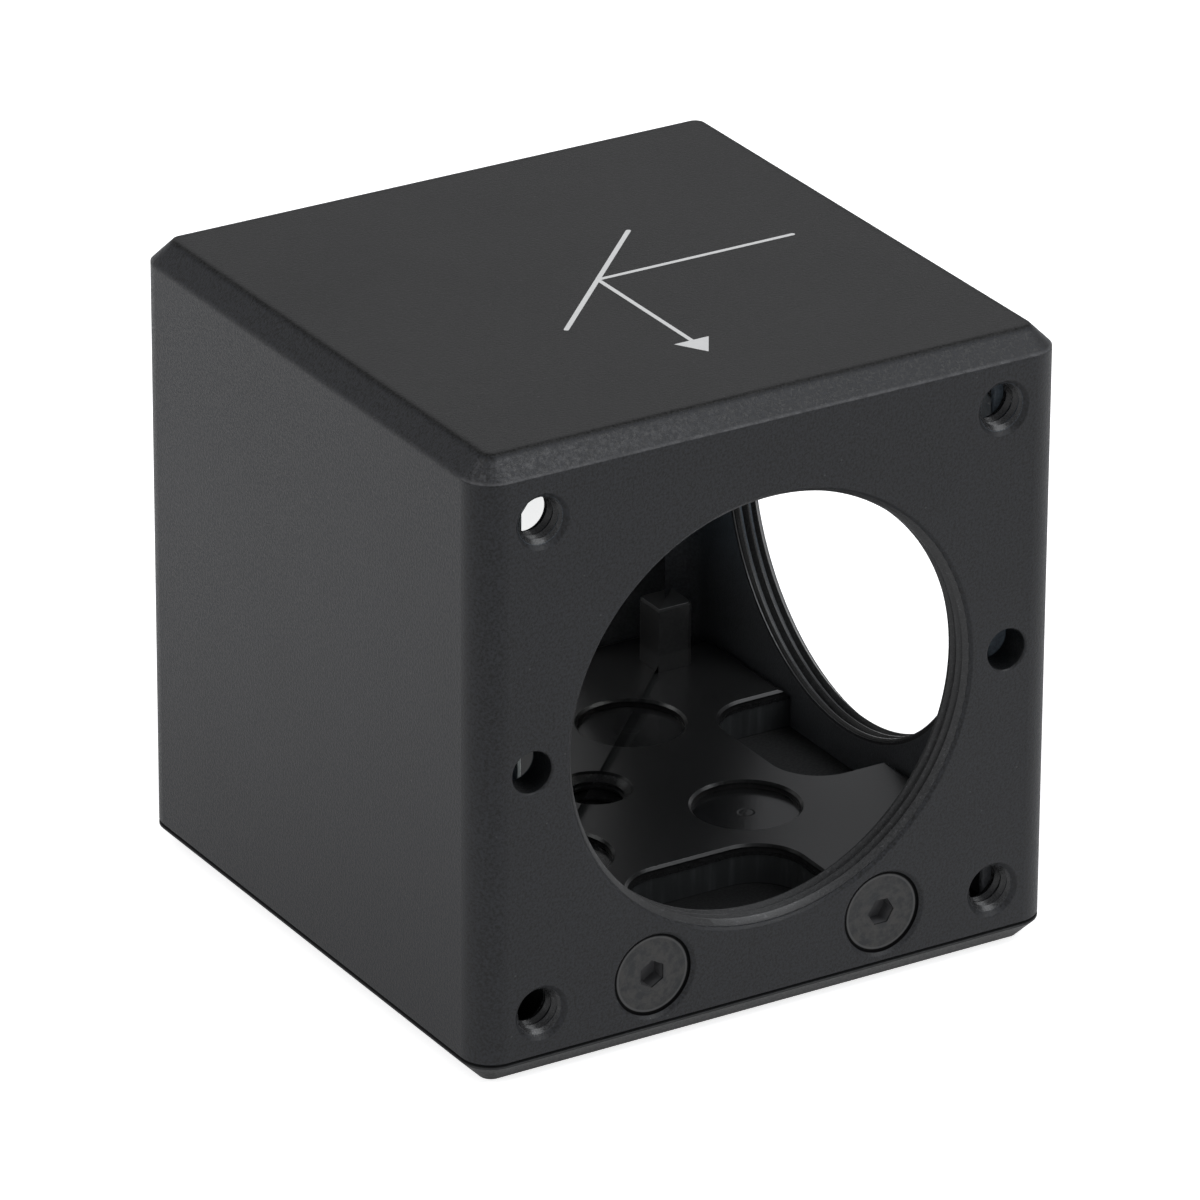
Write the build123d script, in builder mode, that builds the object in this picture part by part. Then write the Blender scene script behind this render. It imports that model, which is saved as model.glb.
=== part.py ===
from build123d import *
import os

# 30 mm cage cube with a fixed turning mirror.
# Millimetres, +Z up. The origin is the centre of the bottom face.
# X runs along the front port face, the front face looks along -Y,
# and the side port face looks along +X. Light goes in at one port and out at the other.

# Cube
cube_size = 38.1
wall = 2.05
top_wall = 2.05
edge_radius = 1.9
top_chamfer = 1.3
cavity_corner_radius = 1.5
seam_break = 0.12

# Threaded ports, 1.035 inch by 40 turns per inch, held at the thread's major diameter
port_thread_diameter = 26.29
port_mouth_bevel = 0.18

# Cage rod holes, 4-40, at the corners of a 30 mm square round each port
rod_spacing = 30.0
rod_thread_diameter = 2.845
rod_mouth_bevel = 0.28

# Plain holes beside each port, level with the light path
pin_hole_diameter = 2.5
pin_from_port = 2.455
pin_mouth_bevel = 0.1

# Turning prism: two equal legs and a silvered long face on the diagonal.
# It stands this far inside the cavity's walls on every side, as large as the cube allows.
prism_room = 4.5
prism_bevel = 0.25

# Base block: a flange under the walls and a raised block inside them
flange_thickness = 1.4
flange_chamfer = 1.2
block_clearance = 0.1
block_corner_radius = 1.6
block_chamfer = 0.6
relief_corner_radius = 1.0
relief_clearance = 0.08
floor_edge_break = 0.15
post_overlap = 1.25
post_beyond_prism = 1.2
post_height = 4.1
post_corner_radius = 0.45
post_top_chamfer = 0.12

# Shallow round wells for the adhesive, and pockets that clear what is screwed into a port
well_spacing = 12.7
well_diameter = 6.35
well_depth = 0.5
pocket_width = 11.2
pocket_reach = 6.3
pocket_depth = 2.5
pocket_corner_radius = 3.0

# Post hole in the base, 8-32, tapped through to the floor
post_hole_diameter = 4.166
post_hole_mouth_bevel = 0.35

# Adhesive between the prism and the base block
bond_gap = 0.25
bond_margin = 0.15

# Flat-head socket screws, M2.5, that hold the base block from the front and the back
screw_spacing = 15.24
screw_height = 4.45
screw_thread_diameter = 2.5
screw_head_diameter = 4.8
screw_head_recess = 0.28
screw_length = 6.0
screw_end_chamfer = 0.3
screw_wall_clearance = 0.1
screw_seat_clearance = 0.02
screw_thread_clearance = 0.03
screw_runout = 1.0
socket_across_flats = 1.5
socket_depth = 1.0
socket_turns = {"front_left": 30, "front_right": 0, "back_left": 12, "back_right": 47}

# Levels and outlines that follow from the sizes above
half_cube = cube_size / 2
axis_height = half_cube
cavity_size = cube_size - 2 * wall
cavity_top = cube_size - top_wall
prism_leg = cavity_size - 2 * prism_room
prism_height = prism_leg
block_size = cavity_size - 2 * block_clearance
floor_height = axis_height - prism_height / 2 - bond_gap
post_tip = prism_leg / 2 - post_overlap
post_outer = prism_leg / 2 + post_beyond_prism
pin_spacing = port_thread_diameter + 2 * pin_from_port
relief_edge = rod_spacing / 2 - rod_thread_diameter / 2 - relief_clearance
screw_head_radius = screw_head_diameter / 2
screw_mouth_radius = screw_head_radius + screw_head_recess + screw_seat_clearance

# Planes on the outer faces, at the light path, with local Y pointing up
front_face = Plane(origin=(0, -half_cube, axis_height), x_dir=(1, 0, 0), z_dir=(0, -1, 0))
side_face = Plane(origin=(half_cube, 0, axis_height), x_dir=(0, 1, 0), z_dir=(1, 0, 0))
back_face = Plane(origin=(0, half_cube, axis_height), x_dir=(-1, 0, 0), z_dir=(0, 1, 0))

# The plane square to the mirror, which maps one port onto the other
cross_plane = Plane(origin=(0, 0, 0), z_dir=(1, 1, 0))

# Where the base screws sit on a face, from its centre
screw_drop = screw_height - axis_height
screw_spots = {"left": (-screw_spacing / 2, screw_drop), "right": (screw_spacing / 2, screw_drop)}


def distance_from_mirror(edge):
    """How far an edge's middle lies from the mirror's plane, Y = X."""
    middle = edge.center()
    return round(abs(middle.X - middle.Y), 3)


# Cube body: walls and top in one machined piece, open at the bottom
with BuildPart() as cube_body:
    with BuildSketch(Plane.XY.offset(flange_thickness)):
        RectangleRounded(cube_size, cube_size, edge_radius)
    extrude(amount=cube_size - flange_thickness)
    chamfer(cube_body.edges().group_by(Axis.Z)[-1], length=top_chamfer)
    chamfer(cube_body.edges().group_by(Axis.Z)[0], length=seam_break)
    with BuildSketch(Plane.XY.offset(flange_thickness)):
        RectangleRounded(cavity_size, cavity_size, cavity_corner_radius)
    extrude(amount=cavity_top - flange_thickness, mode=Mode.SUBTRACT)
    # Both port faces carry the same holes: the port, four rod holes and two plain holes
    with Locations(front_face, side_face):
        CounterSinkHole(
            radius=port_thread_diameter / 2,
            counter_sink_radius=port_thread_diameter / 2 + port_mouth_bevel,
            depth=wall,
            counter_sink_angle=90,
        )
        with GridLocations(rod_spacing, rod_spacing, 2, 2):
            CounterSinkHole(
                radius=rod_thread_diameter / 2,
                counter_sink_radius=rod_thread_diameter / 2 + rod_mouth_bevel,
                depth=wall,
                counter_sink_angle=90,
            )
        with GridLocations(pin_spacing, 0, 2, 1):
            CounterSinkHole(
                radius=pin_hole_diameter / 2,
                counter_sink_radius=pin_hole_diameter / 2 + pin_mouth_bevel,
                depth=wall,
                counter_sink_angle=90,
            )
    # Countersunk seats for the base screws
    with Locations(front_face, back_face):
        with Locations(*screw_spots.values()):
            CounterSinkHole(
                radius=screw_thread_diameter / 2 + screw_wall_clearance,
                counter_sink_radius=screw_mouth_radius,
                depth=wall,
                counter_sink_angle=90,
            )
cube_body.part.label = "cube_body"


# Base block: flange, raised block, mirror posts, wells and pockets in one machined piece
with BuildPart() as base_block:
    with BuildSketch():
        RectangleRounded(cube_size, cube_size, edge_radius)
    extrude(amount=flange_thickness)
    chamfer(base_block.edges().group_by(Axis.Z)[0], length=flange_chamfer)
    chamfer(base_block.edges().group_by(Axis.Z)[-1], length=seam_break)
    with BuildSketch(Plane.XY.offset(flange_thickness)):
        RectangleRounded(block_size, block_size, block_corner_radius)
    extrude(amount=floor_height - flange_thickness)
    chamfer(base_block.edges().group_by(Axis.Z)[-1], length=block_chamfer)

    # Posts: three-sided, each with one face flat against the silvered face of the prism.
    # The outer corner is rounded and the top edges are broken.
    with BuildSketch(Plane.XY.offset(floor_height)):
        with BuildLine():
            Polyline((post_tip, post_tip), (post_outer, post_tip), (post_outer, post_outer), close=True)
        make_face()
        mirror(about=cross_plane)
    extrude(amount=post_height)
    post_corners = base_block.edges(Select.LAST).filter_by(Axis.Z).group_by(distance_from_mirror)[-1]
    fillet(post_corners, radius=post_corner_radius)
    post_top = base_block.faces().group_by(Axis.Z)[-1].edges()
    chamfer(post_top.filter_by(lambda edge: distance_from_mirror(edge) > 0), length=post_top_chamfer)

    # Corner reliefs that clear the ends of cage rods, cut down to the flange
    with BuildSketch(Plane.XY.offset(flange_thickness)):
        relief_size = block_size / 2 - relief_edge + relief_corner_radius
        with GridLocations(2 * relief_edge + relief_size, 2 * relief_edge + relief_size, 2, 2):
            RectangleRounded(relief_size, relief_size, relief_corner_radius)
    extrude(amount=floor_height + post_height, mode=Mode.SUBTRACT)

    # Pockets below the two ports, open to the block's side
    with BuildSketch(Plane.XY.offset(floor_height)):
        pocket_length = pocket_reach + pocket_corner_radius
        pocket_centre = block_size / 2 - pocket_reach + pocket_length / 2
        with Locations((0, -pocket_centre)):
            RectangleRounded(pocket_width, pocket_length, pocket_corner_radius)
        mirror(about=cross_plane)
    extrude(amount=-pocket_depth, mode=Mode.SUBTRACT)
    chamfer(base_block.edges(Select.LAST).group_by(Axis.Z)[-1], length=floor_edge_break)

    # Round wells, two under the prism's edge, one hidden below it and one in the open
    with Locations(Plane.XY.offset(floor_height)):
        with GridLocations(well_spacing, well_spacing, 2, 2):
            CounterSinkHole(
                radius=well_diameter / 2,
                counter_sink_radius=well_diameter / 2 + floor_edge_break,
                depth=well_depth,
                counter_sink_angle=90,
            )

    # Tapped post hole through the middle
    with Locations(Plane.XY.offset(floor_height)):
        CounterSinkHole(
            radius=post_hole_diameter / 2,
            counter_sink_radius=post_hole_diameter / 2 + floor_edge_break,
            depth=floor_height,
            counter_sink_angle=90,
        )
    with Locations(Plane.XY.rotated((180, 0, 0))):
        CounterSinkHole(
            radius=post_hole_diameter / 2,
            counter_sink_radius=post_hole_diameter / 2 + post_hole_mouth_bevel,
            depth=floor_height,
            counter_sink_angle=90,
        )

    # Tapped holes for the base screws, from the block's front and back
    screw_reach = screw_head_recess + screw_length - wall - block_clearance
    with Locations(front_face.offset(block_size / 2 - half_cube), back_face.offset(block_size / 2 - half_cube)):
        with Locations(*screw_spots.values()):
            Hole(radius=screw_thread_diameter / 2 + screw_thread_clearance, depth=screw_reach + screw_runout)
base_block.part.label = "base_block"


# Turning prism: right-angled, with its long face on the diagonal and its edges bevelled
with BuildPart() as prism_mirror:
    with BuildSketch(Plane.XY.offset(axis_height - prism_height / 2)):
        with BuildLine():
            half_leg = prism_leg / 2
            Polyline((-half_leg, -half_leg), (half_leg, half_leg), (-half_leg, half_leg), close=True)
        make_face()
    extrude(amount=prism_height)
    chamfer(prism_mirror.edges(), length=prism_bevel)
prism_mirror.part.label = "prism_mirror"


# Cured adhesive: fills the well under the prism and the gap above it
with BuildPart() as mirror_bond:
    with BuildSketch(Plane.XY.offset(floor_height - well_depth)):
        with Locations((-well_spacing / 2, well_spacing / 2)):
            Circle(radius=well_diameter / 2 - bond_margin)
    extrude(amount=well_depth + bond_gap)
mirror_bond.part.label = "mirror_bond"


def make_base_screw(socket_turn):
    """A flat-head socket screw along Z, with the outer face of the cube at Z = 0."""
    thread_radius = screw_thread_diameter / 2
    head_top = -screw_head_recess
    head_bottom = head_top - (screw_head_radius - thread_radius)
    tip = head_top - screw_length
    with BuildPart() as screw:
        with BuildSketch(Plane.XZ):
            with BuildLine():
                Polyline(
                    (0, head_top),
                    (screw_head_radius, head_top),
                    (thread_radius, head_bottom),
                    (thread_radius, tip + screw_end_chamfer),
                    (thread_radius - screw_end_chamfer, tip),
                    (0, tip),
                    close=True,
                )
            make_face()
        revolve(axis=Axis.Z)
        with BuildSketch(Plane.XY.offset(head_top)):
            RegularPolygon(socket_across_flats / 2, 6, major_radius=False, rotation=socket_turn)
        extrude(amount=-socket_depth, mode=Mode.SUBTRACT)
    return screw.part


os.makedirs("parts", exist_ok=True)
for piece in (cube_body.part, base_block.part, prism_mirror.part, mirror_bond.part):
    export_step(piece, f"parts/{piece.label}.step")
for face_name, face in (("front", front_face), ("back", back_face)):
    for side, spot in screw_spots.items():
        base_screw = make_base_screw(socket_turns[f"{face_name}_{side}"])
        base_screw = base_screw.moved(face.location * Location((*spot, 0)))
        base_screw.label = f"base_screw_{face_name}_{side}"
        export_step(base_screw, f"parts/{base_screw.label}.step")
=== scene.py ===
import math

import bmesh
import bpy
from mathutils import Euler, Matrix, Vector


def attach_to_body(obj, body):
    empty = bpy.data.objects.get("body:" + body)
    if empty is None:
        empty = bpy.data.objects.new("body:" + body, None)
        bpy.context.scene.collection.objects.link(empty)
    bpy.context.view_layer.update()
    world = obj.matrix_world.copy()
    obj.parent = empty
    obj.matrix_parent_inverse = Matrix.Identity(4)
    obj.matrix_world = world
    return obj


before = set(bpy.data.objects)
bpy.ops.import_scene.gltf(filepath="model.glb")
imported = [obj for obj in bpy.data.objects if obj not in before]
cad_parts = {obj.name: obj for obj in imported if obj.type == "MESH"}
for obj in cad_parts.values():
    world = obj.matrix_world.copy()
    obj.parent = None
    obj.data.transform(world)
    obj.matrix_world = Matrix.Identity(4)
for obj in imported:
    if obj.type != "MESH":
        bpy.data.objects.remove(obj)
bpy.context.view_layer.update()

# Sizes in metres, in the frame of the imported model: X along the front port face, Z up
MM = 0.001
CUBE = 38.1 * MM
HALF = CUBE / 2
AXIS_HEIGHT = HALF
WALL = 2.05 * MM
CAVITY_HALF = HALF - WALL
CORNER_RADIUS = 1.9 * MM
TOP_CHAMFER = 1.3 * MM
CHAMFER_FOOT = CUBE - TOP_CHAMFER

PORT_RADIUS = 13.145 * MM
PORT_PITCH = 0.635 * MM
PORT_BEVEL = 0.18 * MM
ROD_OFFSET = 15.0 * MM
ROD_RADIUS = 1.4225 * MM
ROD_PITCH = 0.635 * MM
ROD_BEVEL = 0.28 * MM
PIN_OFFSET = 15.6 * MM
PIN_RADIUS = 1.25 * MM
SCREW_OFFSET = 7.62 * MM
SCREW_HEIGHT = 4.45 * MM
SCREW_SEAT_RADIUS = 2.43 * MM
SCREW_RIM_RADIUS = 2.24 * MM

FLANGE = 1.4 * MM
FLOOR_HEIGHT = 6.3 * MM
POCKET_FLOOR = FLOOR_HEIGHT - 2.5 * MM
POST_TOP = FLOOR_HEIGHT + 4.1 * MM
POST_HOLE_RADIUS = 2.083 * MM
POST_PITCH = 0.794 * MM
POST_BEVEL = 0.35 * MM
WELL_RADIUS = 3.175 * MM
WELL_DEPTH = 0.5 * MM
WELL_OFFSET = 6.35 * MM
WELL_FLOOR = FLOOR_HEIGHT - WELL_DEPTH

# How far a thread's root reaches into the wall of its bore
SUNK = 0.02 * MM
# Edges that turn by more than this stay sharp
CREASE = math.radians(35)

NO_LIGHT = (0.001, 0.001, 0.001, 1)


def mm(size):
    """A size in millimetres, the unit of the materials."""
    return size / MM


# Helpers for modelling

def clear_selection():
    """Leave edit mode and deselect every object."""
    if bpy.context.mode != "OBJECT":
        bpy.ops.object.mode_set(mode="OBJECT")
    bpy.ops.object.select_all(action="DESELECT")


def only(piece):
    """Select this piece alone and make it active."""
    clear_selection()
    piece.select_set(True)
    bpy.context.view_layer.objects.active = piece


def name_new(name):
    """Name the piece that was just made and is active."""
    piece = bpy.context.view_layer.objects.active
    piece.name = name
    piece.data.name = name
    return piece


def pick(wanted):
    """In edit mode, select the vertices for which wanted(place) is true."""
    piece = bpy.context.view_layer.objects.active
    mesh = bmesh.from_edit_mesh(piece.data)
    bpy.ops.mesh.select_all(action="DESELECT")
    for vertex in mesh.verts:
        vertex.select = bool(wanted(vertex.co))
    mesh.select_flush(True)
    mesh.select_flush(False)
    bmesh.update_edit_mesh(piece.data)


def place_vertices(places):
    """In edit mode, move the active piece's vertices to these places, in order."""
    piece = bpy.context.view_layer.objects.active
    mesh = bmesh.from_edit_mesh(piece.data)
    mesh.verts.ensure_lookup_table()
    for vertex, place in zip(mesh.verts, places):
        vertex.co = place
    bmesh.update_edit_mesh(piece.data)


def settle(piece):
    """Put the piece's place and turn into its mesh."""
    only(piece)
    bpy.ops.object.transform_apply(location=True, rotation=True, scale=True)


def face_out(piece):
    """Merge doubles and make the faces point outwards."""
    only(piece)
    bpy.ops.object.mode_set(mode="EDIT")
    bpy.ops.mesh.select_all(action="SELECT")
    bpy.ops.mesh.remove_doubles(threshold=1e-7)
    bpy.ops.mesh.normals_make_consistent(inside=False)
    bpy.ops.object.mode_set(mode="OBJECT")


def apply_modifiers(piece):
    """Apply every modifier on the piece."""
    only(piece)
    for modifier in list(piece.modifiers):
        bpy.ops.object.modifier_apply(modifier=modifier.name)


def copy_piece(piece, name, place):
    """A copy with its own mesh, placed by a matrix."""
    only(piece)
    bpy.ops.object.duplicate(linked=False)
    copy = name_new(name)
    copy.matrix_world = place
    settle(copy)
    return copy


def join_pieces(name, pieces):
    """One piece made of several."""
    clear_selection()
    for piece in pieces:
        piece.select_set(True)
    bpy.context.view_layer.objects.active = pieces[0]
    bpy.ops.object.join()
    return name_new(name)


def remove_piece(piece):
    """Remove a piece that was only modelled to be copied or to cut another."""
    only(piece)
    bpy.ops.object.delete()


def attach(piece, material):
    """Give the piece its finish and let it ride on the part's one body."""
    piece.data.materials.clear()
    piece.data.materials.append(material)
    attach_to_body(piece, "root")


# Threads

def turn_section(name, points, steps, rise=0, turns=1):
    """Turn an outline of (radius, height) points round Z, into a ring or a rising helix."""
    bpy.ops.mesh.primitive_circle_add(vertices=len(points), radius=MM, fill_type="NOTHING")
    piece = name_new(name)
    bpy.ops.object.mode_set(mode="EDIT")
    place_vertices([(radius, 0, height) for radius, height in points])
    bpy.ops.object.mode_set(mode="OBJECT")
    screw = piece.modifiers.new("turns", "SCREW")
    screw.angle = math.tau
    screw.screw_offset = rise
    screw.iterations = turns
    screw.steps = steps
    screw.render_steps = steps
    screw.use_merge_vertices = rise == 0
    screw.merge_threshold = 1e-6
    screw.use_smooth_shade = False
    apply_modifiers(piece)
    face_out(piece)
    return piece


def make_thread(name, bore_radius, depth, pitch, crest, start, end, steps):
    """The ridge of an internal thread, from start to end; on X, one crest is at height crest."""
    crest_half = pitch * 0.06
    root_half = pitch * 0.44
    first = crest - pitch * (math.ceil((crest - start) / pitch) + 1)
    turns = math.ceil((end - first) / pitch) + 1
    section = (
        (bore_radius + SUNK, first - root_half),
        (bore_radius - depth * 0.9, first - crest_half * 1.5),
        (bore_radius - depth, first - crest_half),
        (bore_radius - depth, first + crest_half),
        (bore_radius - depth * 0.9, first + crest_half * 1.5),
        (bore_radius + SUNK, first + root_half),
    )
    thread = turn_section(name, section, steps, rise=pitch, turns=turns)
    bpy.ops.object.mode_set(mode="EDIT")
    for height, keep_above in ((start, True), (end, False)):
        bpy.ops.mesh.select_all(action="SELECT")
        bpy.ops.mesh.bisect(
            plane_co=(0, 0, height),
            plane_no=(0, 0, 1),
            use_fill=True,
            threshold=1e-8,
            clear_inner=keep_above,
            clear_outer=not keep_above,
        )
    face_out(thread)
    bpy.ops.object.shade_smooth_by_angle(angle=CREASE)
    return thread


def make_lip(name, bore_radius, depth, start, crest, end, steps):
    """The cone that a thread's inner end is cut to: a ring that is highest at the crest."""
    flat = 0.04 * MM
    section = (
        (bore_radius + SUNK, start),
        (bore_radius - depth, crest - flat),
        (bore_radius - depth, crest + flat),
        (bore_radius + SUNK, end),
    )
    lip = turn_section(name, section, steps)
    bpy.ops.object.shade_smooth_by_angle(angle=CREASE)
    return lip


def cut_countersink(thread, mouth_radius, steps):
    """Cut the mouth's 90 degree cone out of a thread; at Z = 0 it is as wide as the mouth."""
    above, below = 0.5 * MM, 0.8 * MM
    bpy.ops.mesh.primitive_cone_add(
        vertices=steps,
        radius1=mouth_radius + above,
        radius2=mouth_radius - below,
        depth=above + below,
        location=(0, 0, (below - above) / 2),
    )
    cutter = name_new("countersink")
    only(thread)
    cut = thread.modifiers.new("countersink", "BOOLEAN")
    cut.operation = "DIFFERENCE"
    cut.solver = "EXACT"
    cut.object = cutter
    apply_modifiers(thread)
    remove_piece(cutter)
    face_out(thread)
    bpy.ops.object.shade_smooth_by_angle(angle=CREASE)


def make_tapped_bore(
    name, bore_radius, depth, pitch, bevel, crest, end_depth, end_crest, end, steps
):
    """Thread ridges, cut by the mouth's countersink and closed by a cone at the inner end."""
    ridges = make_thread(
        f"{name}_ridges", bore_radius, depth, pitch, crest, bevel - SUNK, end_crest, steps
    )
    cut_countersink(ridges, bore_radius + bevel, steps)
    end_start = end_crest - 0.8 * end_depth
    lip = make_lip(f"{name}_end", bore_radius, end_depth, end_start, end_crest, end, steps)
    return join_pieces(name, [ridges, lip])


# The frame of each port face: its Z runs into the wall, from where the port's axis meets the face
INTO_FRONT = Euler((-math.pi / 2, 0, 0)).to_matrix().to_4x4()
FRONT_FACE = Matrix.Translation((0, -HALF, AXIS_HEIGHT)) @ INTO_FRONT
SIDE_FACE = Matrix.Rotation(math.pi / 2, 4, "Z") @ FRONT_FACE
PORT_FACES = {"front": FRONT_FACE, "side": SIDE_FACE}


def make_port_threads(finish):
    """The threads in both ports."""
    pattern = make_tapped_bore(
        "port_thread",
        bore_radius=PORT_RADIUS,
        depth=0.345 * MM,
        pitch=PORT_PITCH,
        bevel=PORT_BEVEL,
        crest=0.36 * MM,
        end_depth=0.16 * MM,
        end_crest=WALL - 0.07 * MM,
        end=WALL,
        steps=144,
    )
    for name, face in PORT_FACES.items():
        thread = copy_piece(pattern, f"port_thread_{name}", face)
        attach(thread, finish)
    remove_piece(pattern)


def make_rod_threads(finish):
    """The threads in the four rod holes of each port face."""
    pattern = make_tapped_bore(
        "rod_thread",
        bore_radius=ROD_RADIUS,
        depth=0.24 * MM,
        pitch=ROD_PITCH,
        bevel=ROD_BEVEL,
        crest=0.30 * MM,
        end_depth=0.14 * MM,
        end_crest=WALL - 0.1 * MM,
        end=WALL,
        steps=48,
    )
    for name, face in PORT_FACES.items():
        for level, down in (("low", ROD_OFFSET), ("high", -ROD_OFFSET)):
            for side, across in (("left", -ROD_OFFSET), ("right", ROD_OFFSET)):
                place = face @ Matrix.Translation((across, down, 0))
                thread = copy_piece(pattern, f"rod_thread_{name}_{level}_{side}", place)
                attach(thread, finish)
    remove_piece(pattern)


def make_post_thread(finish):
    """The thread in the post hole of the base."""
    thread = make_tapped_bore(
        "post_thread",
        bore_radius=POST_HOLE_RADIUS,
        depth=0.36 * MM,
        pitch=POST_PITCH,
        bevel=POST_BEVEL,
        crest=0.69 * MM,
        end_depth=0.36 * MM,
        end_crest=FLOOR_HEIGHT - 0.50 * MM,
        end=FLOOR_HEIGHT - 0.13 * MM,
        steps=48,
    )
    attach(thread, finish)


# Floors of the wells

def extrude_down(depth):
    """In edit mode, extrude what is selected downwards."""
    bpy.ops.mesh.extrude_region_move(TRANSFORM_OT_translate={"value": (0, 0, -depth)})


def make_well_floors(finish):
    """The flat floor of each round well, with the shallow dimple that the cutter leaves."""
    side_gap = 0.012 * MM
    dimple_radius = 0.55 * MM
    rim_height, plug_height, plug_taper = 0.02 * MM, 0.5 * MM, 0.82
    bpy.ops.mesh.primitive_circle_add(
        vertices=96, radius=WELL_RADIUS - side_gap, fill_type="NGON"
    )
    pattern = name_new("well_floor")
    bpy.ops.object.mode_set(mode="EDIT")
    bpy.ops.mesh.select_all(action="SELECT")
    bpy.ops.mesh.inset(thickness=WELL_RADIUS - dimple_radius, depth=0)
    bpy.ops.mesh.inset(thickness=0.12 * MM, depth=-0.006 * MM)
    bpy.ops.mesh.inset(thickness=0.36 * MM, depth=0.004 * MM)
    bpy.ops.mesh.select_all(action="DESELECT")
    bpy.ops.mesh.select_mode(type="EDGE")
    bpy.ops.mesh.select_non_manifold()
    extrude_down(rim_height)
    extrude_down(plug_height)
    bpy.ops.transform.resize(value=(plug_taper, plug_taper, 1), center_override=(0, 0, 0))
    bpy.ops.mesh.edge_face_add()
    bpy.ops.object.mode_set(mode="OBJECT")
    face_out(pattern)
    bpy.ops.object.shade_flat()
    height = WELL_FLOOR + 0.002 * MM
    for row, depth in (("front", -WELL_OFFSET), ("back", WELL_OFFSET)):
        for side, across in (("left", -WELL_OFFSET), ("right", WELL_OFFSET)):
            place = Matrix.Translation((across, depth, height))
            floor = copy_piece(pattern, f"well_floor_{row}_{side}", place)
            attach(floor, finish)
    remove_piece(pattern)


# The printed ray diagram

INK_HEIGHT = 0.012 * MM
INK_SUNK = 0.01 * MM
# Each printed shape is this much thicker than the one before, so that none share a surface
INK_STEP = 0.0004 * MM
RAY_CENTRE = Vector((0.1, 0.1)) * MM
MIRROR_REACH = 5.2 * MM
MIRROR_WIDTH = 0.30 * MM
BEAM_WIDTH = 0.28 * MM


def print_on_top(shape, start, run, lift):
    """Thicken a flat shape that is in edit mode, and lay it on the top, from start along run."""
    bpy.ops.mesh.select_all(action="SELECT")
    bpy.ops.transform.translate(value=(0, 0, -INK_SUNK))
    bpy.ops.mesh.extrude_region_move(
        TRANSFORM_OT_translate={"value": (0, 0, INK_SUNK + INK_HEIGHT + lift)}
    )
    bpy.ops.object.mode_set(mode="OBJECT")
    shape.rotation_euler = (0, 0, math.atan2(run.y, run.x))
    shape.location = (*start, CUBE)
    settle(shape)
    face_out(shape)
    return shape


def make_bar(name, start, end, width, lift):
    """A printed line with round ends, between two points of the top face."""
    run = Vector(end) - Vector(start)
    bpy.ops.mesh.primitive_circle_add(vertices=32, radius=width / 2, fill_type="NGON")
    bar = name_new(name)
    bpy.ops.object.mode_set(mode="EDIT")
    pick(lambda place: place.x > 1e-9)
    bpy.ops.transform.translate(value=(run.length, 0, 0))
    return print_on_top(bar, start, run, lift)


def make_arrowhead(name, base, tip, width, lift):
    """A printed triangle from the middle of its base to its tip."""
    run = Vector(tip) - Vector(base)
    bpy.ops.mesh.primitive_circle_add(vertices=3, radius=width / 2, fill_type="NGON")
    head = name_new(name)
    bpy.ops.object.mode_set(mode="EDIT")
    place_vertices([(0, width / 2, 0), (0, -width / 2, 0), (run.length, 0, 0)])
    return print_on_top(head, base, run, lift)


def make_ray_diagram(ink):
    """The mirror's line, the beam in and the beam out, printed on the top face."""
    x, y = RAY_CENTRE
    low_end = (x - MIRROR_REACH, y - MIRROR_REACH)
    high_end = (x + MIRROR_REACH, y + MIRROR_REACH)
    head_base, head_tip = (x, -9.95 * MM), (x, -11.75 * MM)
    parts = [
        make_bar("mirror_line", low_end, high_end, MIRROR_WIDTH, 0),
        make_bar("beam_side", (x, y), (13.1 * MM, y), BEAM_WIDTH, INK_STEP),
        make_bar("beam_front", (x, y), (x, -10.3 * MM), BEAM_WIDTH, 2 * INK_STEP),
        make_arrowhead("beam_arrow", head_base, head_tip, 2.25 * MM, 3 * INK_STEP),
    ]
    attach(join_pieces("ray_diagram", parts), ink)


# Helpers for materials

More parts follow.
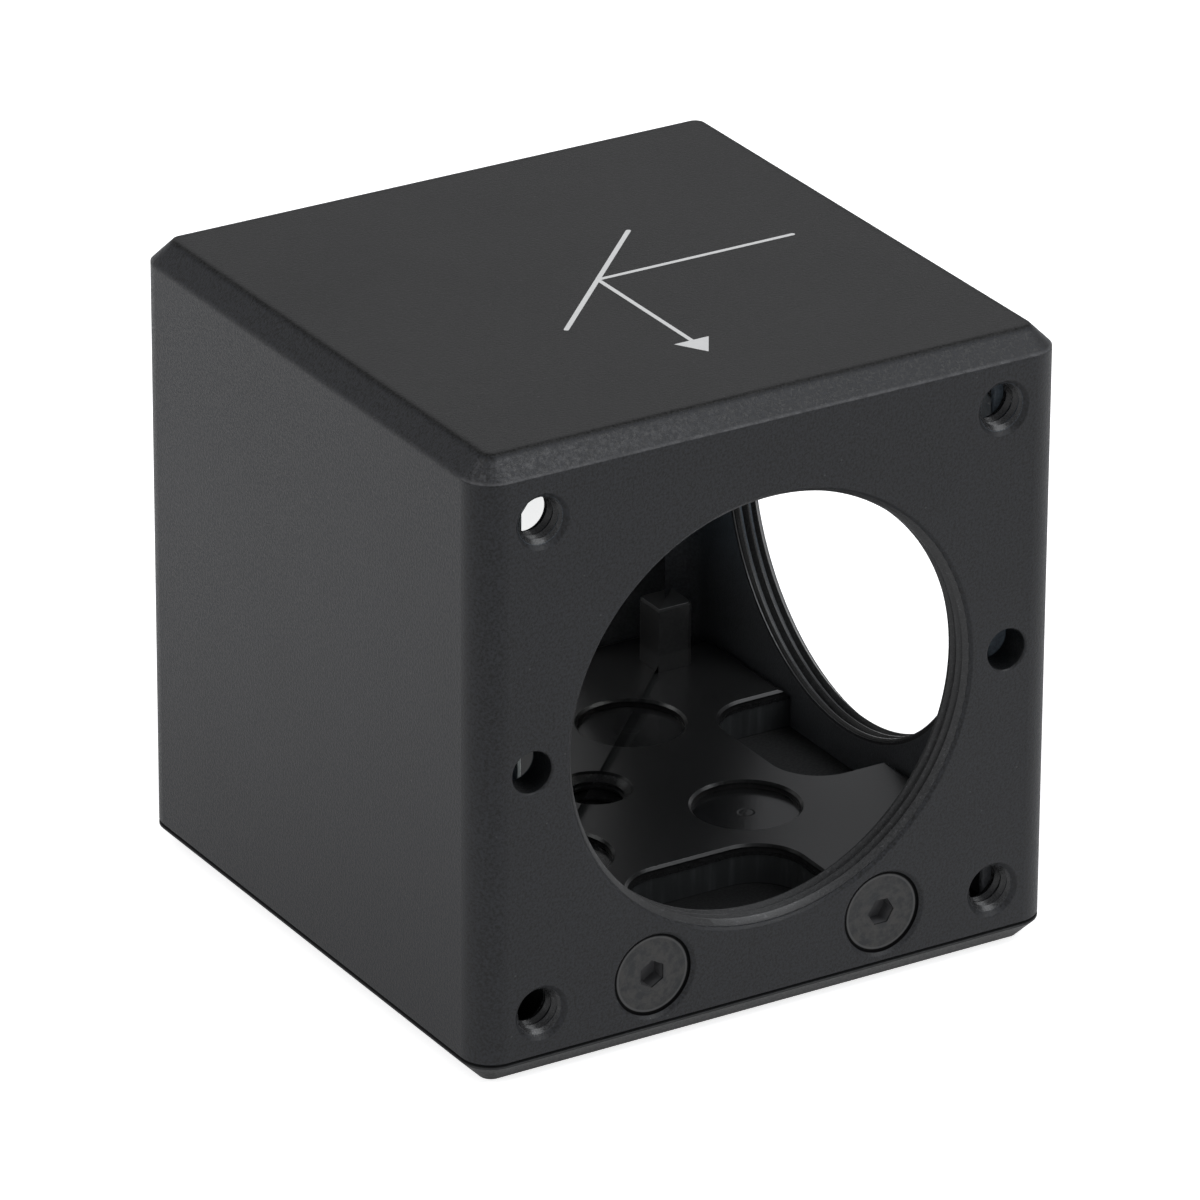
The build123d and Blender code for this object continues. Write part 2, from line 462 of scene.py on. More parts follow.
class Nodes:
    """Adds and links the nodes of one material or group, from left to right."""

    def __init__(self, tree):
        self.tree = tree
        self.count = 0

    def add(self, kind, inputs=None, **settings):
        """A new node with its settings and its inputs."""
        node = self.tree.nodes.new(kind)
        node.location = (self.count * 180, 0)
        self.count += 1
        for key, value in settings.items():
            setattr(node, key, value)
        for key, value in (inputs or {}).items():
            self.feed(node, key, value)
        return node

    def feed(self, node, key, value):
        """Link an output to the input, or set the input to a plain value."""
        socket = node.inputs[key]
        if isinstance(value, bpy.types.NodeSocket):
            self.tree.links.new(value, socket)
        else:
            socket.default_value = value

    def use(self, group, inputs=None):
        """The outputs of a shared group that is placed here."""
        return self.add("ShaderNodeGroup", inputs, node_tree=group).outputs

    def math(self, operation, *values, clamp=False):
        node = self.add(
            "ShaderNodeMath", dict(enumerate(values)), operation=operation, use_clamp=clamp
        )
        return node.outputs[0]

    def plus(self, first, second, clamp=False):
        return self.math("ADD", first, second, clamp=clamp)

    def minus(self, first, second):
        return self.math("SUBTRACT", first, second)

    def times(self, first, *others):
        product = first
        for other in others:
            product = self.math("MULTIPLY", product, other)
        return product

    def larger(self, first, second):
        return self.math("MAXIMUM", first, second)

    def smooth(self, value, low, high, to_low=0.0, to_high=1.0):
        """A smooth step from to_low to to_high, while the value goes from low to high."""
        ends = {"From Min": low, "From Max": high, "To Min": to_low, "To Max": to_high}
        node = self.add(
            "ShaderNodeMapRange", {"Value": value, **ends}, interpolation_type="SMOOTHSTEP"
        )
        return node.outputs["Result"]

    def fade(self, value, low, high):
        """A smooth step from 1 down to 0."""
        return self.smooth(value, low, high, 1.0, 0.0)

    def band(self, value, rise, fall):
        """1 between two limits: it rises over the one span and falls over the other."""
        return self.times(self.smooth(value, *rise), self.fade(value, *fall))

    def noise(self, vector, scale, detail=2.0, roughness=0.5):
        inputs = {"Vector": vector, "Scale": scale, "Detail": detail, "Roughness": roughness}
        return self.add("ShaderNodeTexNoise", inputs).outputs["Fac"]

    def noise_along(self, value, scale, detail, roughness):
        """Noise that changes with one value only."""
        line = self.add("ShaderNodeCombineXYZ", {0: value}).outputs[0]
        return self.noise(line, scale, detail, roughness)

    def scaled(self, colour, shade):
        """A colour times one number."""
        inputs = {0: colour, "Scale": shade}
        return self.add("ShaderNodeVectorMath", inputs, operation="SCALE").outputs[0]

    def mix(self, factor, first, second):
        node = self.add("ShaderNodeMix", data_type="RGBA")
        self.feed(node, 0, factor)
        self.feed(node, 6, first)
        self.feed(node, 7, second)
        return node.outputs[2]

    def bump(self, shader, height, strength, distance, normal=None):
        """Give a shader its fine relief, on top of a normal if there is one."""
        inputs = {"Height": height, "Strength": strength, "Distance": distance}
        if normal is not None:
            inputs["Normal"] = normal
        relief = self.add("ShaderNodeBump", inputs)
        self.feed(shader, "Normal", relief.outputs[0])


def group_sockets(tree, inputs, outputs):
    """Give a node group its named inputs and outputs."""
    for name, kind, value in inputs:
        socket = tree.interface.new_socket(name=name, in_out="INPUT", socket_type=kind)
        if value is not None:
            socket.default_value = value
    for name, kind in outputs:
        tree.interface.new_socket(name=name, in_out="OUTPUT", socket_type=kind)


def make_millimetre_group():
    """Splits a place into millimetres from the cube's centre line: across, depth and height."""
    tree = bpy.data.node_groups.new("place_in_mm", "ShaderNodeTree")
    axes = [(axis, "NodeSocketFloat") for axis in "XYZ"]
    group_sockets(tree, [], [*axes, ("Place", "NodeSocketVector")])
    nodes = Nodes(tree)
    place = nodes.add("ShaderNodeTexCoord").outputs["Object"]
    per_metre = {0: place, 1: (1000, 1000, 1000)}
    scaled = nodes.add("ShaderNodeVectorMath", per_metre, operation="MULTIPLY").outputs[0]
    parts = nodes.add("ShaderNodeSeparateXYZ", {0: scaled})
    out = nodes.add("NodeGroupOutput")
    for axis in "XYZ":
        nodes.feed(out, axis, parts.outputs[axis])
    nodes.feed(out, "Place", scaled)
    return tree


def make_blast_group():
    """Blasted and anodised skin: its shade, the height of its grain, and specks of dust."""
    tree = bpy.data.node_groups.new("blasted_skin", "ShaderNodeTree")
    group_sockets(
        tree,
        [
            ("Place", "NodeSocketVector", None),
            ("Grain", "NodeSocketFloat", 7.0),
            ("Speckle", "NodeSocketFloat", 0.2),
            ("Cloud", "NodeSocketFloat", 0.1),
        ],
        [(name, "NodeSocketFloat") for name in ("Shade", "Height", "Dust")],
    )
    nodes = Nodes(tree)
    given = nodes.add("NodeGroupInput").outputs
    fine = nodes.smooth(nodes.noise(given["Place"], given["Grain"], 3.0, 0.7), 0.34, 0.66)
    slow = nodes.noise(given["Place"], 0.11, 3.0, 0.55)
    fine_part = nodes.times(nodes.minus(fine, 0.5), given["Speckle"])
    slow_part = nodes.times(nodes.minus(slow, 0.5), given["Cloud"])
    shade = nodes.plus(nodes.plus(fine_part, slow_part), 1.0)
    cells = nodes.add(
        "ShaderNodeTexVoronoi", {"Vector": given["Place"], "Scale": 0.9}, feature="F1"
    )
    grains = nodes.fade(cells.outputs["Distance"], 0.035, 0.07)
    chance = nodes.add("ShaderNodeSeparateColor", {0: cells.outputs["Color"]}).outputs[0]
    dust = nodes.times(grains, nodes.math("GREATER_THAN", chance, 0.72))
    out = nodes.add("NodeGroupOutput")
    nodes.feed(out, "Shade", shade)
    nodes.feed(out, "Height", fine)
    nodes.feed(out, "Dust", dust)
    return tree


def make_ring_group():
    """How far a point lies from a circle, and how far from the circle's centre."""
    tree = bpy.data.node_groups.new("ring_distance", "ShaderNodeTree")
    group_sockets(
        tree,
        [
            ("Across", "NodeSocketFloat", 0.0),
            ("Up", "NodeSocketFloat", 0.0),
            ("Radius", "NodeSocketFloat", 1.0),
        ],
        [("Distance", "NodeSocketFloat"), ("From Centre", "NodeSocketFloat")],
    )
    nodes = Nodes(tree)
    given = nodes.add("NodeGroupInput").outputs
    across_squared = nodes.times(given["Across"], given["Across"])
    up_squared = nodes.times(given["Up"], given["Up"])
    reach = nodes.math("SQRT", nodes.plus(across_squared, up_squared))
    out = nodes.add("NodeGroupOutput")
    nodes.feed(out, "Distance", nodes.math("ABSOLUTE", nodes.minus(reach, given["Radius"])))
    nodes.feed(out, "From Centre", reach)
    return tree


def empty_nodes(owner):
    """Switch on the nodes of a material or world, and return the helper for its empty tree."""
    owner.use_nodes = True
    owner.node_tree.nodes.clear()
    return Nodes(owner.node_tree)


def new_material(name):
    """A material with its own node helper and its Principled shader."""
    material = bpy.data.materials.new(name)
    nodes = empty_nodes(material)
    shader = nodes.add("ShaderNodeBsdfPrincipled")
    nodes.add("ShaderNodeOutputMaterial", {0: shader.outputs[0]})
    return material, nodes, shader


# The cube's finish

def outline_distance(nodes, ring, across, depth):
    """How far a point lies from the cube's outline in plan, with its rounded corners."""
    straight = mm(HALF - CORNER_RADIUS)
    past_across = nodes.larger(nodes.minus(across, straight), 0.0)
    past_depth = nodes.larger(nodes.minus(depth, straight), 0.0)
    corner = {"Across": past_across, "Up": past_depth, "Radius": mm(CORNER_RADIUS)}
    return nodes.use(ring, corner)["Distance"]


def worn_top_with_highlight(nodes, ring, place, outline):
    """Wear and a painted highlight on the lower edge of the top's chamfer and, at the front, on
    the chamfer itself.
    """
    foot = mm(CHAMFER_FOOT)
    above = nodes.minus(place["Z"], foot)
    from_edge = nodes.use(ring, {"Across": outline, "Up": above})["From Centre"]
    near_edge = nodes.fade(from_edge, 0.02, 0.26)
    edge = nodes.times(near_edge, nodes.smooth(place["Z"], foot - 0.04, foot + 0.02))
    patchy = nodes.smooth(nodes.noise(place["Place"], 1.6, 5.0, 0.75), 0.3, 0.65, 0.35, 1.0)
    at_front = nodes.fade(place["Y"], mm(-CAVITY_HALF) - 0.4, mm(-CAVITY_HALF))
    on_edge = nodes.times(edge, patchy, nodes.plus(at_front, 0.15, clamp=True))
    chamfer_ends = (foot + 0.02, foot + 0.1), (mm(CUBE) - 0.4, mm(CUBE) - 0.1)
    on_chamfer = nodes.band(place["Z"], *chamfer_ends)
    flecks = nodes.smooth(nodes.noise(place["Place"], 3.0, 5.0, 0.8), 0.42, 0.62)
    left_more = nodes.smooth(place["X"], -18.0, 10.0, 0.42, 0.0)
    return nodes.larger(on_edge, nodes.times(on_chamfer, at_front, flecks, left_more))


def plain_bores(nodes, ring, along, out, up):
    """1 inside the wall in the two plain holes of a face; along and out are the face's axes."""
    from_axis = nodes.minus(along, mm(PIN_OFFSET))
    reach = nodes.use(ring, {"Across": from_axis, "Up": up})["From Centre"]
    near_bore = nodes.fade(reach, mm(PIN_RADIUS) + 0.03, mm(PIN_RADIUS) + 0.08)
    inner, outer = mm(CAVITY_HALF), mm(HALF)
    in_wall = nodes.band(out, (inner + 0.05, inner + 0.1), (outer - 0.15, outer - 0.01))
    return nodes.times(near_bore, in_wall)


def body_finish(millimetres, blast, ring):
    """Black anodised and blasted aluminium of the cube, rubbed a little along its top edge, with
    painted light and shade: a painted highlight along that edge, a lighter top and inner walls,
    and dark bores, lid edge, seam and screw gaps.
    """
    material, nodes, shader = new_material("black_anodise")
    place = nodes.use(millimetres)
    skin = nodes.use(
        blast, {"Place": place["Place"], "Grain": 6.2, "Speckle": 2.0, "Cloud": 0.5}
    )
    across = nodes.math("ABSOLUTE", place["X"])
    depth = nodes.math("ABSOLUTE", place["Y"])
    height = place["Z"]
    top = mm(CUBE)
    outline = outline_distance(nodes, ring, across, depth)
    wear_and_highlight = worn_top_with_highlight(nodes, ring, place, outline)
    # Painted light: the top and the outer walls are dark, the top painted lighter and the walls
    # bluer; the inner walls are painted much lighter, lightest and bluest towards the top, for
    # the light that the ports and the mirror throw in, and their grain is calmer
    lid = nodes.smooth(height, top - 0.15, top - 0.02)
    outer_painted_tone = nodes.mix(lid, (0.0086, 0.0092, 0.0110, 1), (0.0142, 0.0140, 0.0137, 1))
    outer = nodes.scaled(outer_painted_tone, skin["Shade"])
    upper_painted_light = nodes.smooth(height, 9.0, 17.0)
    inner_painted_tone = nodes.mix(upper_painted_light, (0.064, 0.067, 0.072, 1), (0.082, 0.102, 0.122, 1))
    calm = nodes.plus(nodes.times(skin["Shade"], 0.25), 0.75)
    inner = nodes.scaled(inner_painted_tone, calm)
    inside = nodes.times(
        nodes.smooth(outline, 0.22, 0.32), nodes.fade(height, top - 1.8, top - 1.6)
    )
    walled = nodes.mix(inside, outer, inner)
    # Painted shade: the bores of the plain holes are painted near black
    outward = nodes.times(place["Y"], -1.0)
    from_axis = nodes.minus(height, mm(AXIS_HEIGHT))
    front_bores = plain_bores(nodes, ring, across, outward, from_axis)
    side_bores = plain_bores(nodes, ring, depth, place["X"], from_axis)
    bores_shaded = nodes.mix(nodes.larger(front_bores, side_bores), walled, (0.004, 0.0045, 0.005, 1))
    # No light comes out of the seam above the base, or of the gap round each screw head
    seam = nodes.fade(height, mm(FLANGE) + 0.04, mm(FLANGE) + 0.1)
    seat_circle = {
        "Across": nodes.minus(across, mm(SCREW_OFFSET)),
        "Up": nodes.minus(height, mm(SCREW_HEIGHT)),
        "Radius": mm(SCREW_SEAT_RADIUS),
    }
    gap = nodes.fade(nodes.use(ring, seat_circle)["Distance"], 0.05, 0.09)
    unlit = nodes.larger(nodes.times(seam, 0.5), nodes.times(gap, 0.9))
    # Painted shade: the edge between the top and its chamfer is smoother and darkened, by
    # Metallic over the dark colour
    from_rim = nodes.minus(outline, mm(TOP_CHAMFER))
    from_lid = nodes.minus(height, top)
    lid_edge = nodes.use(ring, {"Across": from_rim, "Up": from_lid})["From Centre"]
    lid_edge_shade = nodes.times(nodes.fade(lid_edge, 0.0, 0.45), 0.6)
    dark = nodes.mix(unlit, bores_shaded, NO_LIGHT)
    # Wear and painted highlight: lighter along the top's chamfer, most at the front
    worn_and_highlighted = nodes.mix(nodes.times(wear_and_highlight, 0.6), dark, (0.11, 0.11, 0.115, 1))
    dusty = nodes.mix(nodes.times(skin["Dust"], 0.15), worn_and_highlighted, (0.2, 0.2, 0.2, 1))
    nodes.feed(shader, "Base Color", dusty)
    rough = nodes.smooth(skin["Height"], 0.0, 1.0, 0.40, 0.58)
    rubbed = nodes.minus(rough, nodes.times(wear_and_highlight, 0.12))
    nodes.feed(shader, "Roughness", nodes.plus(rubbed, nodes.times(unlit, 0.45)))
    nodes.feed(shader, "Metallic", nodes.larger(unlit, lid_edge_shade))
    nodes.feed(shader, "Specular IOR Level", 0.36)
    # The edges round the top are rounder than the others
    crisp = nodes.add("ShaderNodeBevel", {"Radius": 0.12 * MM}, samples=6).outputs[0]
    tumbled = nodes.add("ShaderNodeBevel", {"Radius": 0.42 * MM}, samples=6).outputs[0]
    rounded = nodes.mix(nodes.smooth(height, top - 2.2, top - 1.8), crisp, tumbled)
    nodes.bump(shader, skin["Height"], 0.8, 0.01 * MM, rounded)
    return material


def thread_finish(name, millimetres, blast, shine):
    """Anodised thread with small bright nicks; a higher shine is smoother."""
    material, nodes, shader = new_material(name)
    place = nodes.use(millimetres)
    skin = nodes.use(
        blast, {"Place": place["Place"], "Grain": 9.0, "Speckle": 0.7, "Cloud": 0.3}
    )
    nicks = nodes.smooth(nodes.noise(place["Place"], 5.0, 4.0, 0.75), 0.56, 0.66)
    dark = nodes.scaled((0.0225, 0.0228, 0.0235), skin["Shade"])
    nicked = nodes.mix(nodes.times(nicks, 0.3), dark, (0.14, 0.14, 0.145, 1))
    nodes.feed(shader, "Base Color", nicked)
    rough = nodes.smooth(skin["Height"], 0.0, 1.0, 0.42 - shine, 0.56 - shine)
    nodes.feed(shader, "Roughness", nodes.minus(rough, nodes.times(nicks, 0.12)))
    nodes.feed(shader, "Specular IOR Level", 0.40)
    nodes.bump(shader, skin["Height"], 0.2, 0.01 * MM)
    return material


# The base's finish

def base_finish(millimetres, blast, ring):
    """Anodised machined base: satin floor, wells with painted highlights round their rims, duller
    pockets and flange, and painted shade on the pocket floors, in the seam, round the post tops
    and on the walls just below the floor.
    """
    material, nodes, shader = new_material("machined_anodise")
    place = nodes.use(millimetres)
    skin = nodes.use(
        blast, {"Place": place["Place"], "Grain": 6.0, "Speckle": 0.55, "Cloud": 0.8}
    )
    height = place["Z"]
    flange, pocket, well_bottom = mm(FLANGE), mm(POCKET_FLOOR), mm(WELL_FLOOR)
    floor, post_top = mm(FLOOR_HEIGHT), mm(POST_TOP)
    # Where a point lies, by its height
    outside = nodes.fade(height, flange + 0.1, flange + 0.3)
    seam = nodes.times(nodes.smooth(height, flange - 0.12, flange - 0.06), outside)
    in_pocket = nodes.band(height, (flange + 0.1, flange + 0.3), (pocket + 0.02, pocket + 0.1))
    deep = nodes.fade(height, floor - 0.9, floor - 0.6)
    on_well_floor = nodes.band(
        height, (well_bottom - 0.3, well_bottom - 0.1), (well_bottom + 0.02, well_bottom + 0.06)
    )
    below_rims = nodes.band(height, (floor - 0.28, floor - 0.24), (floor - 0.03, floor - 0.01))
    post_foot = nodes.band(height, (floor, floor + 0.1), (floor + 1.10, floor + 1.16))
    post_edge = nodes.band(
        height, (post_top - 0.14, post_top - 0.12), (post_top - 0.015, post_top - 0.005)
    )
    # The floor, with a painted highlight in patches round each well's rim, and the cutter's mark
    # in its middle
    well_circle = {
        "Across": nodes.minus(nodes.math("ABSOLUTE", place["X"]), mm(WELL_OFFSET)),
        "Up": nodes.minus(nodes.math("ABSOLUTE", place["Y"]), mm(WELL_OFFSET)),
        "Radius": mm(WELL_RADIUS) + 0.075,
    }
    well = nodes.use(ring, well_circle)
    rim_highlight = nodes.fade(well["Distance"], 0.04, 0.12)
    ripple = nodes.noise_along(well["From Centre"], 5.0, 2.0, 0.6)
    centre_mark = nodes.times(nodes.fade(well["From Centre"], 0.25, 0.75), ripple)
    shade = nodes.plus(skin["Shade"], nodes.times(centre_mark, 0.8))
    floor_colour = nodes.scaled((0.0125, 0.0127, 0.0130), shade)
    # The pockets, with upright milling streaks on their walls, and their floors painted dark:
    # painted shade
    drawn_up = {0: place["Place"], 1: (1.0, 1.0, 0.08)}
    upright = nodes.add("ShaderNodeVectorMath", drawn_up, operation="MULTIPLY").outputs[0]
    streak = nodes.smooth(nodes.noise(upright, 1.4, 3.0, 0.6), 0.5, 0.75)
    wall_colour = nodes.mix(streak, (0.024, 0.026, 0.027, 1), (0.046, 0.049, 0.051, 1))
    pocket_colour = nodes.mix(in_pocket, wall_colour, (0.008, 0.0083, 0.0088, 1))
    machined = nodes.mix(deep, floor_colour, pocket_colour)
    # The foot of each post, lighter up to about 1.1 mm above the floor
    footed = nodes.mix(nodes.times(post_foot, 0.5), machined, (0.024, 0.024, 0.024, 1))
    # The flange outside, and painted shade in the seam above it
    flange_skin = nodes.scaled((0.0070, 0.0073, 0.0080), skin["Shade"])
    flanged = nodes.mix(outside, footed, flange_skin)
    seam_shaded = nodes.mix(nodes.times(seam, 0.5), flanged, NO_LIGHT)
    patchy = nodes.smooth(nodes.noise(place["Place"], 1.3, 3.0, 0.6), 0.3, 0.7)
    # Painted highlight in patches round each well's rim
    rim_highlighted = nodes.mix(nodes.times(rim_highlight, patchy, 0.2), seam_shaded, (0.10, 0.10, 0.10, 1))
    # Painted shade: the edge round each post's top is painted near black
    nodes.feed(shader, "Base Color", nodes.mix(post_edge, rim_highlighted, (0.004, 0.004, 0.004, 1)))
    satin = nodes.smooth(skin["Height"], 0.0, 1.0, 0.28, 0.33)
    blasted = nodes.smooth(skin["Height"], 0.0, 1.0, 0.44, 0.58)
    duller = nodes.times(nodes.larger(outside, deep), nodes.minus(blasted, satin))
    ground = nodes.times(nodes.larger(in_pocket, post_edge), 0.25)
    turned = nodes.times(on_well_floor, -0.13)
    rough = nodes.plus(nodes.plus(satin, duller), nodes.plus(ground, turned))
    nodes.feed(shader, "Roughness", nodes.plus(rough, nodes.times(seam, 0.4)))
    # Painted shade: Metallic over the dark colour darkens the posts' top edges and the walls just
    # below the floor
    shade_dimming = nodes.larger(nodes.times(post_edge, 0.75), nodes.times(below_rims, 0.5))
    nodes.feed(shader, "Metallic", nodes.larger(shade_dimming, nodes.times(seam, 0.5)))
    nodes.feed(shader, "Specular IOR Level", 0.38)
    nodes.bump(shader, skin["Height"], 0.2, 0.005 * MM)
    return material


# The finishes of the mirror, the adhesive, the screws and the ink

def silver_finish(millimetres):
    """Silvered long face of the prism, with ground glass on its other faces."""
    material, nodes, shader = new_material("silvered_glass")
    place = nodes.use(millimetres)
    from_diagonal = nodes.math("ABSOLUTE", nodes.minus(place["X"], place["Y"]))
    silvered = nodes.fade(from_diagonal, 0.02, 0.05)
    bare = nodes.minus(1.0, silvered)
    grind = nodes.noise(place["Place"], 5.0, 3.0, 0.7)
    glass = nodes.mix(grind, (0.30, 0.33, 0.32, 1), (0.42, 0.45, 0.44, 1))
    haze = nodes.noise(place["Place"], 0.25, 3.0, 0.5)
    hazy = nodes.smooth(haze, 0.4, 0.8)
    silver = nodes.mix(hazy, (0.86, 0.855, 0.835, 1), (0.845, 0.84, 0.82, 1))
    nodes.feed(shader, "Base Color", nodes.mix(silvered, glass, silver))
    nodes.feed(shader, "Metallic", silvered)
    polished = nodes.smooth(haze, 0.35, 0.8, 0.012, 0.03)
    ground = nodes.smooth(grind, 0.3, 0.7, 0.45, 0.65)
    rough = nodes.plus(nodes.times(silvered, polished), nodes.times(bare, ground))
    nodes.feed(shader, "Roughness", rough)
    nodes.bump(shader, nodes.times(grind, bare), 0.4, 0.03 * MM)
    return material


def bond_finish(millimetres):
    """Cured amber adhesive."""
    material, nodes, shader = new_material("cured_adhesive")
    place = nodes.use(millimetres)
    cloud = nodes.noise(place["Place"], 0.8, 3.0, 0.6)
    amber = nodes.mix(cloud, (0.16, 0.085, 0.03, 1), (0.30, 0.17, 0.06, 1))
    nodes.feed(shader, "Base Color", amber)
    nodes.feed(shader, "Roughness", nodes.smooth(cloud, 0.3, 0.7, 0.2, 0.34))
    nodes.bump(shader, cloud, 0.2, 0.1 * MM)
    return material


def screw_finish(millimetres, ring):
    """Black oxide steel, with fine turning marks round each screw's own axis, a painted highlight
    round each head's edge, painted light in its socket and a painted shadow round the head.
    """
    material, nodes, shader = new_material("black_oxide_steel")
    place = nodes.use(millimetres)
    rim_circle = {
        "Across": nodes.minus(nodes.math("ABSOLUTE", place["X"]), mm(SCREW_OFFSET)),
        "Up": nodes.minus(place["Z"], mm(SCREW_HEIGHT)),
        "Radius": mm(SCREW_RIM_RADIUS),
    }
    reach = nodes.use(ring, rim_circle)
    rim_highlight = nodes.fade(reach["Distance"], 0.02, 0.08)
    past_rim = mm(SCREW_RIM_RADIUS) + 0.06
    shadow = nodes.smooth(reach["From Centre"], past_rim, past_rim + 0.04)
    turning = nodes.noise_along(reach["From Centre"], 5.0, 3.0, 0.7)
    mottle = nodes.noise(place["Place"], 1.6, 4.0, 0.65)
    near_axis = nodes.fade(reach["From Centre"], 0.95, 1.05)
    below_head = nodes.fade(nodes.math("ABSOLUTE", place["Y"]), 18.6, 18.7)
    socket = nodes.times(near_axis, below_head)
    mottled = nodes.smooth(mottle, 0.36, 0.64)
    base = nodes.mix(mottled, (0.014, 0.0155, 0.017, 1), (0.040, 0.0385, 0.037, 1))
    marks = nodes.smooth(turning, 0.45, 0.7, 0.0, 0.25)
    lined = nodes.mix(marks, base, (0.055, 0.0555, 0.056, 1))
    # Painted highlight: a light ring round the head's edge
    rim_highlighted = nodes.mix(nodes.times(rim_highlight, 0.3), lined, (0.12, 0.12, 0.12, 1))
    # Painted light on the inside of the hex socket
    bright = nodes.mix(nodes.times(socket, 0.6), rim_highlighted, (0.16, 0.16, 0.165, 1))
    shaded = nodes.mix(nodes.times(shadow, 0.9), bright, (0.002, 0.002, 0.002, 1))
    nodes.feed(shader, "Base Color", shaded)
    nodes.feed(shader, "Metallic", nodes.smooth(shadow, 0.0, 1.0, 0.35, 1.0))
    nodes.feed(shader, "Roughness", nodes.smooth(mottle, 0.3, 0.7, 0.32, 0.54))
    nodes.bump(shader, mottle, 0.4, 0.02 * MM)
    return material


def ink_finish(millimetres):
    """White screen-printed ink, a little uneven."""
    material, nodes, shader = new_material("white_ink")
    place = nodes.use(millimetres)
    cover = nodes.noise(place["Place"], 4.0, 3.0, 0.6)
    white = nodes.mix(cover, (0.64, 0.64, 0.635, 1), (0.72, 0.72, 0.71, 1))
    nodes.feed(shader, "Base Color", white)
    nodes.feed(shader, "Roughness", nodes.smooth(cover, 0.3, 0.7, 0.5, 0.7))
    nodes.bump(shader, cover, 0.2, 0.01 * MM)
    return material


def dress(node, material):
    """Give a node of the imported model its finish."""
    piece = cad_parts[node]
    if not piece.material_slots:
        piece.data.materials.append(material)
    for slot in piece.material_slots:
        slot.material = material


# Stage, light and camera

def floor_finish():
    """White studio floor, lifted towards white for the camera and for reflections."""
    material = bpy.data.materials.new("studio_floor")
    nodes = empty_nodes(material)
    place = nodes.add("ShaderNodeTexCoord").outputs["Object"]
    tone = nodes.noise(place, 6.0, 2.0, 0.5)
    paint = nodes.mix(tone, (0.80, 0.80, 0.80, 1), (0.83, 0.83, 0.83, 1))
    card = nodes.add("ShaderNodeBsdfDiffuse", {"Color": paint})
    # Painted reflection: what the cube reflects of the floor glows brightest behind the cube and
    # falls off towards the front left, with painted shade behind to the right
    parts = nodes.add("ShaderNodeSeparateXYZ", {0: place}).outputs
    away = nodes.plus(nodes.times(parts[0], 0.55), nodes.times(parts[1], 0.83))
    behind_right = nodes.times(
        nodes.smooth(parts[0], 0.025, 0.06), nodes.smooth(parts[1], -0.04, 0.0)
    )
    shaded = nodes.minus(1.0, nodes.times(behind_right, 0.6))
    reflected = nodes.times(nodes.smooth(away, -0.09, 0.045, 0.06, 0.5), shaded)
    path = nodes.add("ShaderNodeLightPath")
    seen = nodes.larger(path.outputs["Is Camera Ray"], path.outputs["Is Transmission Ray"])
    mirrored = nodes.times(path.outputs["Is Glossy Ray"], reflected)
    strength = nodes.larger(nodes.times(seen, 0.75), mirrored)
    lift = nodes.add("ShaderNodeEmission", {"Color": (1, 1, 1, 1), "Strength": strength})
    both = nodes.add("ShaderNodeAddShader", {0: card.outputs[0], 1: lift.outputs[0]})
    nodes.add("ShaderNodeOutputMaterial", {0: both.outputs[0]})
    return material


def make_floor():
    """A wide plain floor under the cube."""
    clear_selection()
    bpy.ops.mesh.primitive_plane_add(size=12, location=(0, 0, -0.02 * MM))
    floor = name_new("studio_floor")
    settle(floor)
    floor.data.materials.append(floor_finish())


def make_sky():
    """Even studio surround: white to the camera, and falling off upwards for all else."""
    world = bpy.data.worlds.new("studio")
    bpy.context.scene.world = world
    nodes = empty_nodes(world)
    direction = nodes.add("ShaderNodeTexCoord").outputs["Generated"]
    rise = nodes.add("ShaderNodeSeparateXYZ", {0: direction}).outputs[2]
    low_down = nodes.fade(rise, 0.0, 0.45)
    around = nodes.mix(low_down, (0.40, 0.405, 0.42, 1), (0.85, 0.855, 0.87, 1))
    path = nodes.add("ShaderNodeLightPath")
    colour = nodes.mix(path.outputs["Is Camera Ray"], around, (1, 1, 1, 1))
    background = nodes.add("ShaderNodeBackground", {"Color": colour, "Strength": 1.0})
    nodes.add("ShaderNodeOutputWorld", {0: background.outputs[0]})


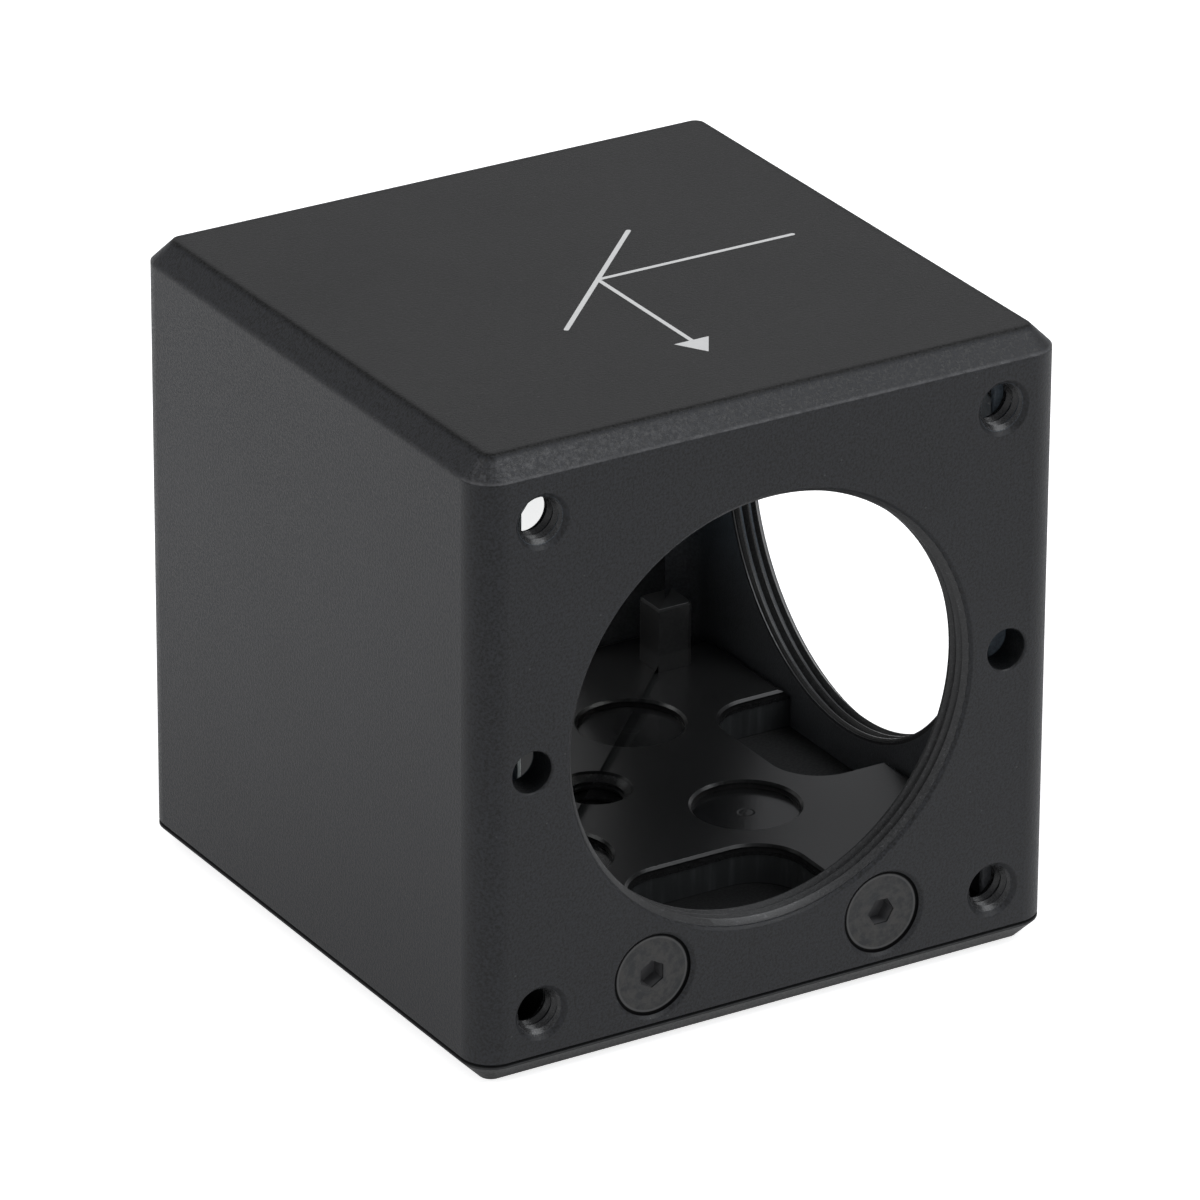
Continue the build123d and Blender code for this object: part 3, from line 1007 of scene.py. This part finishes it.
def make_lamp(name, place, size, power, colour):
    """A square soft lamp that looks at the cube."""
    clear_selection()
    bpy.ops.object.light_add(type="AREA", location=place)
    lamp = bpy.context.view_layer.objects.active
    lamp.name = name
    lamp.data.size = size
    lamp.data.energy = power
    lamp.data.color = colour
    aim = Vector((0, 0, AXIS_HEIGHT)) - Vector(place)
    lamp.rotation_euler = aim.to_track_quat("-Z", "Y").to_euler()


def make_lamps():
    """One large lamp above the front right, a weaker one at the left and a small one above."""
    make_lamp("softbox_front", (0.52, -0.44, 0.86), 0.72, 5.6, (0.96, 0.98, 1.0))
    make_lamp("softbox_left", (-0.95, -0.10, 0.75), 0.8, 3.05, (1.0, 0.985, 0.98))
    make_lamp("softbox_top", (-0.45, -0.15, 0.90), 0.3, 0.5, (1.0, 1.0, 1.0))


def make_camera():
    """The photograph's view: the corner between the front and the left face, from above."""
    data = bpy.data.cameras.new("camera")
    camera = bpy.data.objects.new("camera", data)
    bpy.context.scene.collection.objects.link(camera)
    yaw, pitch, roll = math.radians(31.409), math.radians(24.867), math.radians(0.304)
    turn = (
        Matrix.Rotation(-yaw, 3, "Z")
        @ Matrix.Rotation(math.pi / 2 - pitch, 3, "X")
        @ Matrix.Rotation(roll, 3, "Z")
    )
    camera.rotation_euler = turn.to_euler()
    camera.location = (-0.261716, -0.429105, 0.251205)
    data.sensor_width = 36
    data.lens = 290.26
    data.clip_start = 0.01
    data.clip_end = 50
    bpy.context.scene.camera = camera


def main():
    millimetres = make_millimetre_group()
    blast = make_blast_group()
    ring = make_ring_group()
    body = body_finish(millimetres, blast, ring)
    base = base_finish(millimetres, blast, ring)
    screws = screw_finish(millimetres, ring)
    dress("cube_body", body)
    dress("base_block", base)
    dress("prism_mirror", silver_finish(millimetres))
    dress("mirror_bond", bond_finish(millimetres))
    for name in ("front_left", "front_right", "back_left", "back_right"):
        dress(f"base_screw_{name}", screws)
    clear_selection()
    make_port_threads(thread_finish("anodised_thread", millimetres, blast, 0.13))
    make_rod_threads(thread_finish("anodised_rod_thread", millimetres, blast, 0.22))
    make_post_thread(thread_finish("anodised_post_thread", millimetres, blast, 0.05))
    make_well_floors(base)
    make_ray_diagram(ink_finish(millimetres))
    make_floor()
    make_sky()
    make_lamps()
    make_camera()
    bpy.context.scene.view_settings.view_transform = "Standard"


main()
